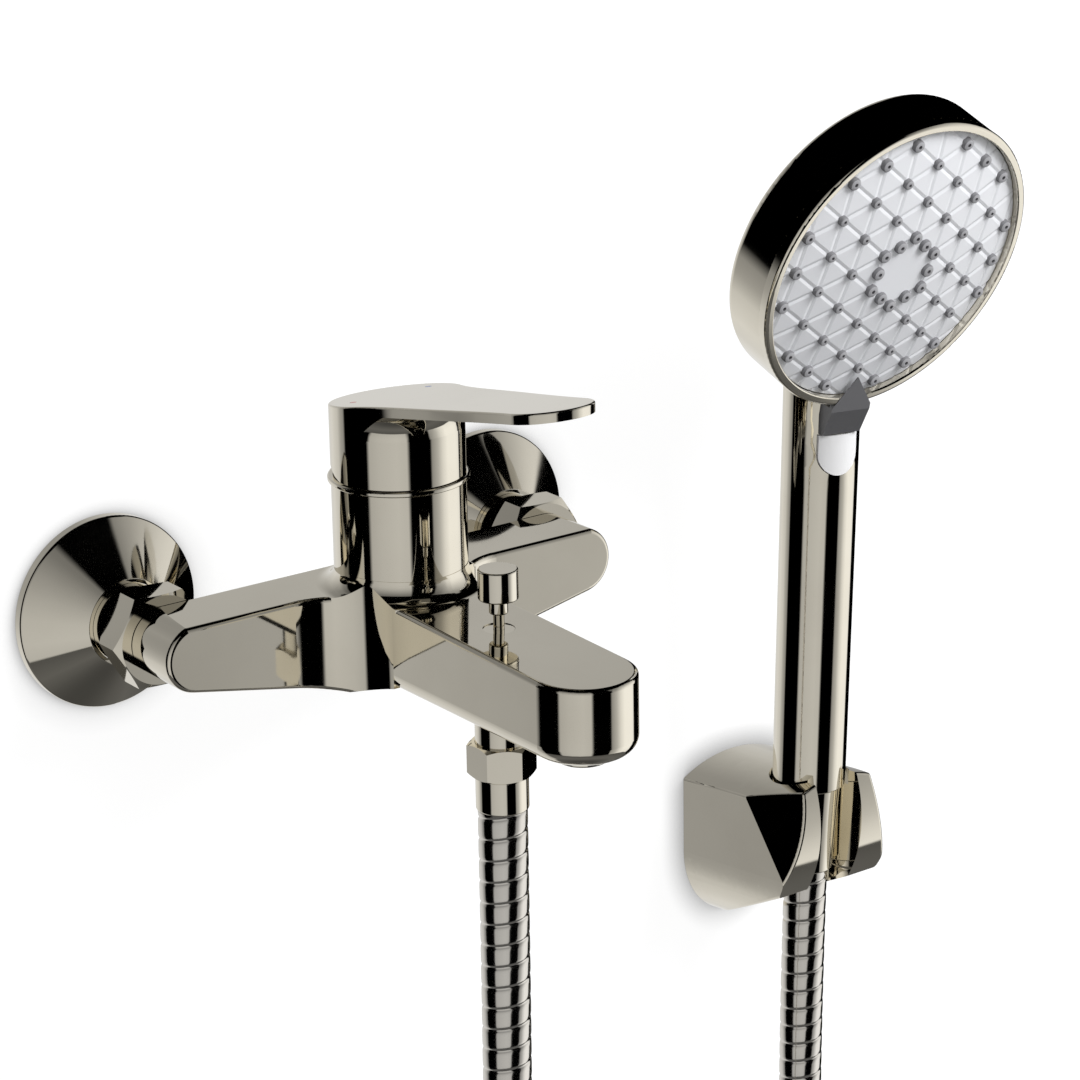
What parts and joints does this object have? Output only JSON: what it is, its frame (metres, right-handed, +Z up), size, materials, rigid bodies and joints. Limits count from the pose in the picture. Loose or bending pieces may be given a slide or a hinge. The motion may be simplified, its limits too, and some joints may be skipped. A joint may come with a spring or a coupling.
{
  "type": "wall mounted bath faucet",
  "caption": "Wall mounted single lever bath mixer with a rounded spout, pull diverter and a hand shower on a ribbed hose, held in a wall bracket.",
  "frame": {"origin": "on the finished wall plane, midway between the two inlet centres", "axes": "+X to the right along the wall, +Y into the wall, +Z up; the spout points along -Y"},
  "size_m": [0.352, 0.204, 0.763],
  "materials": {
    "nickel": "polished warm nickel plating",
    "hose_metal": "polished spiral of formed metal strip",
    "brass": "machined",
    "steel": "bright",
    "rubber": "matt",
    "nozzle_rubber": "matt",
    "ceramic": "lapped ceramic",
    "cartridge_plastic": "moulded",
    "grey_plastic": "glossy dark grey",
    "button_white": "glossy white",
    "face_plastic": "glossy pale grey, faceted",
    "hot_mark": "glossy",
    "cold_mark": "glossy"
  },
  "bodies": {
    "mixer": {"wall_union_left": "nickel", "wall_union_right": "nickel", "escutcheon_left": "nickel", "escutcheon_right": "nickel", "union_nut_left": "nickel", "union_nut_right": "nickel", "inlet_tail_left": "brass", "inlet_tail_right": "brass", "inlet_washers": "rubber", "mixer_body": "nickel", "cartridge_base": "cartridge_plastic", "port_seals": "rubber", "fixed_disc": "ceramic", "cartridge_housing": "cartridge_plastic", "clamp_nut": "brass", "trim_ring": "nickel", "diverter_bush": "nickel", "aerator_housing": "nickel", "aerator_insert": "grey_plastic", "aerator_seal": "rubber", "outlet_nipple": "nickel", "hose_nut": "nickel", "outlet_washer": "rubber", "hose_sleeve": "nickel", "hose": "hose_metal", "bracket_body": "nickel", "bracket_base": "cartridge_plastic", "bracket_screws": "steel", "wall_plugs": "cartridge_plastic"},
    "turning_core": {"turner": "cartridge_plastic", "pivot_pin": "steel"},
    "lever": {"lever_spindle": "brass", "lever_handle": "nickel", "lever_screw": "steel", "screw_plug": "grey_plastic", "hot_dot": "hot_mark", "cold_dot": "cold_mark"},
    "disc_slider": {"disc_carrier": "cartridge_plastic", "moving_disc": "ceramic"},
    "diverter": {"diverter_stem": "nickel", "diverter_knob": "nickel", "diverter_plunger": "rubber"},
    "hose_end": {"hose_ferrule": "nickel"},
    "handset": {"cone_nut": "nickel", "handset_washer": "rubber", "handle_connector": "brass", "handle_tube": "cartridge_plastic", "handset_shell": "nickel", "spray_rim": "nickel", "spray_plate": "face_plastic", "nozzle_mat": "nozzle_rubber", "water_guide": "cartridge_plastic", "selector_bezel": "grey_plastic"},
    "selector": {"selector_button": "button_white"}
  },
  "joints": [
    {"name": "lever_turn", "type": "hinge", "parent": "mixer", "child": "turning_core", "pos_m": [0, -0.0624, 0.044], "axis": [0, 0, 1], "range_deg": [-45, 45]},
    {"name": "lever_lift", "type": "hinge", "parent": "turning_core", "child": "lever", "pos_m": [0, -0.0624, 0.052], "axis": [-1, 0, 0], "range_deg": [0, 20]},
    {"name": "disc_slide", "type": "slide", "parent": "turning_core", "child": "disc_slider", "axis": [0, -1, 0], "range_m": [0, 0.0057]},
    {"name": "diverter_pull", "type": "slide", "parent": "mixer", "child": "diverter", "axis": [0, 0, 1], "range_m": [0, 0.008]},
    {"name": "handset_lift", "type": "slide", "parent": "mixer", "child": "hose_end", "axis": [0, -0.0366, 0.9993], "range_m": [0, 0.09], "deforming": ["hose"]},
    {"name": "handset_turn", "type": "hinge", "parent": "hose_end", "child": "handset", "pos_m": [0.1891, -0.0435, -0.1135], "axis": [0, -0.0366, 0.9993], "range_deg": [-60, 60]},
    {"name": "selector_push", "type": "slide", "parent": "handset", "child": "selector", "axis": [0.2079, 0.9775, 0.0358], "range_m": [0, 0.002], "stiffness_N_per_m": 400}
  ],
  "couplings": [
    {"joint": "disc_slide", "follows": "lever_lift", "m_per_rad": 0.016}
  ]
}
